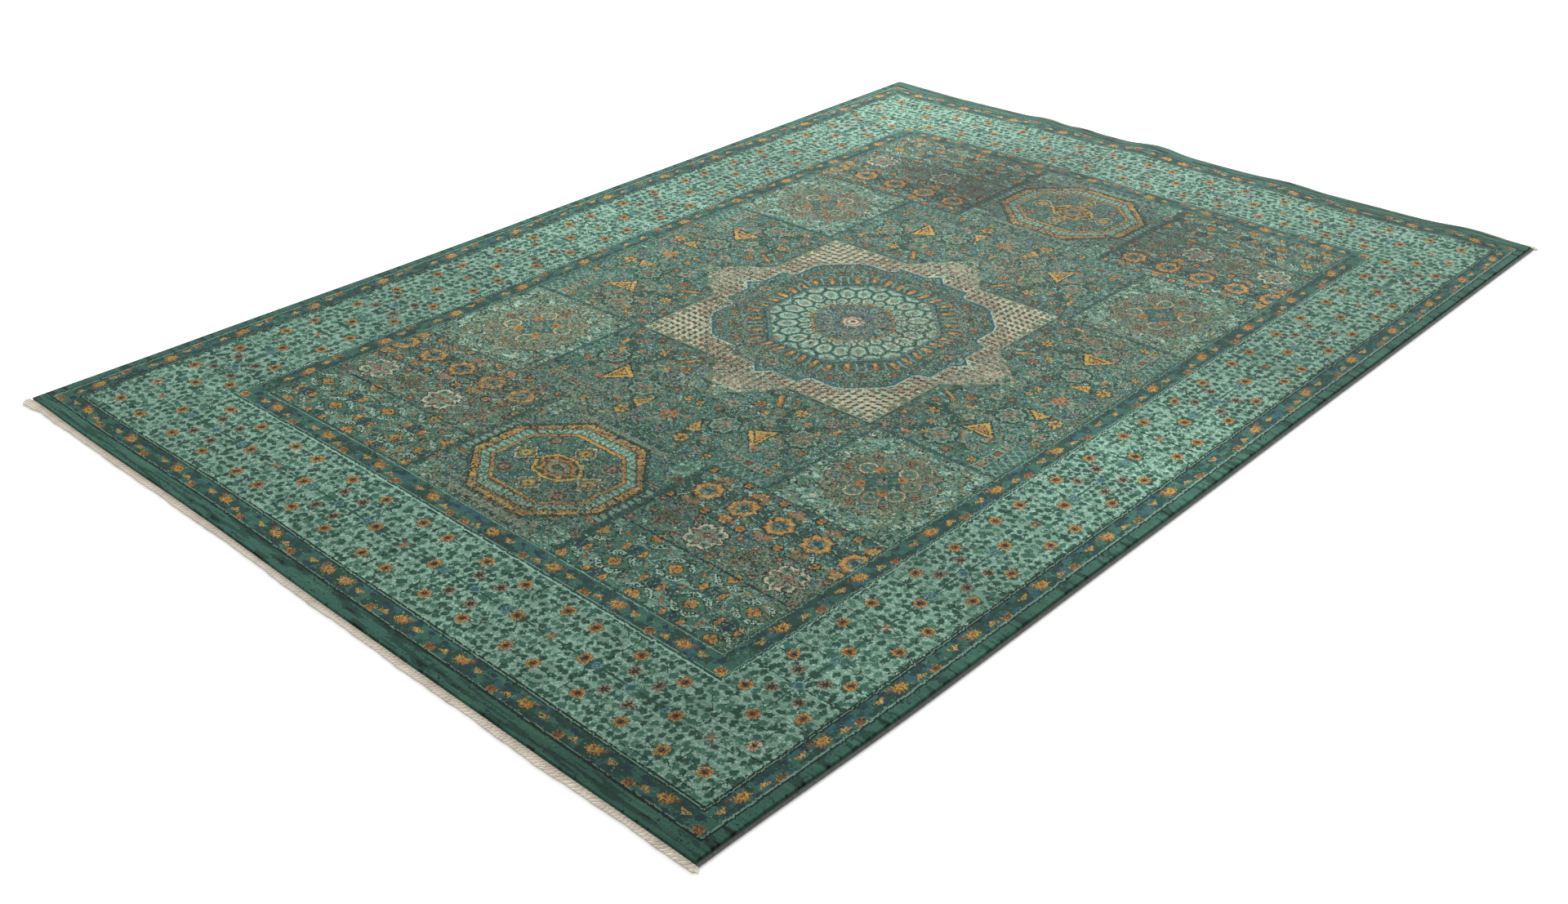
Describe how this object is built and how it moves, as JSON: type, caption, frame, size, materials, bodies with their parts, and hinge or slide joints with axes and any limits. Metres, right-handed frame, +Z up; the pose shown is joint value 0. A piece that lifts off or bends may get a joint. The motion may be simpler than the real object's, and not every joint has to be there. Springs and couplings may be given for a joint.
{
  "type": "mamluk rug",
  "caption": "Rectangular hand-knotted wool pile rug lying flat, with overcast long edges and off-white twined end strips.",
  "frame": {"origin": "centre of the rug's outer box, on the floor under it", "axes": "+Z up from the floor, +Y along the rug's length from the near end to the far end, +X across its width"},
  "size_m": [1.742, 2.4532, 0.0143],
  "materials": {
    "pile_wool": "clipped wool pile, soft sheen",
    "selvedge_wool": "overcast wool yarn",
    "end_cotton": "twined off-white yarn"
  },
  "bodies": {
    "root": {"rug_body": "pile_wool", "selvedge_left": "selvedge_wool", "selvedge_right": "selvedge_wool", "end_strip_near": "end_cotton", "end_strip_far": "end_cotton"}
  },
  "joints": []
}
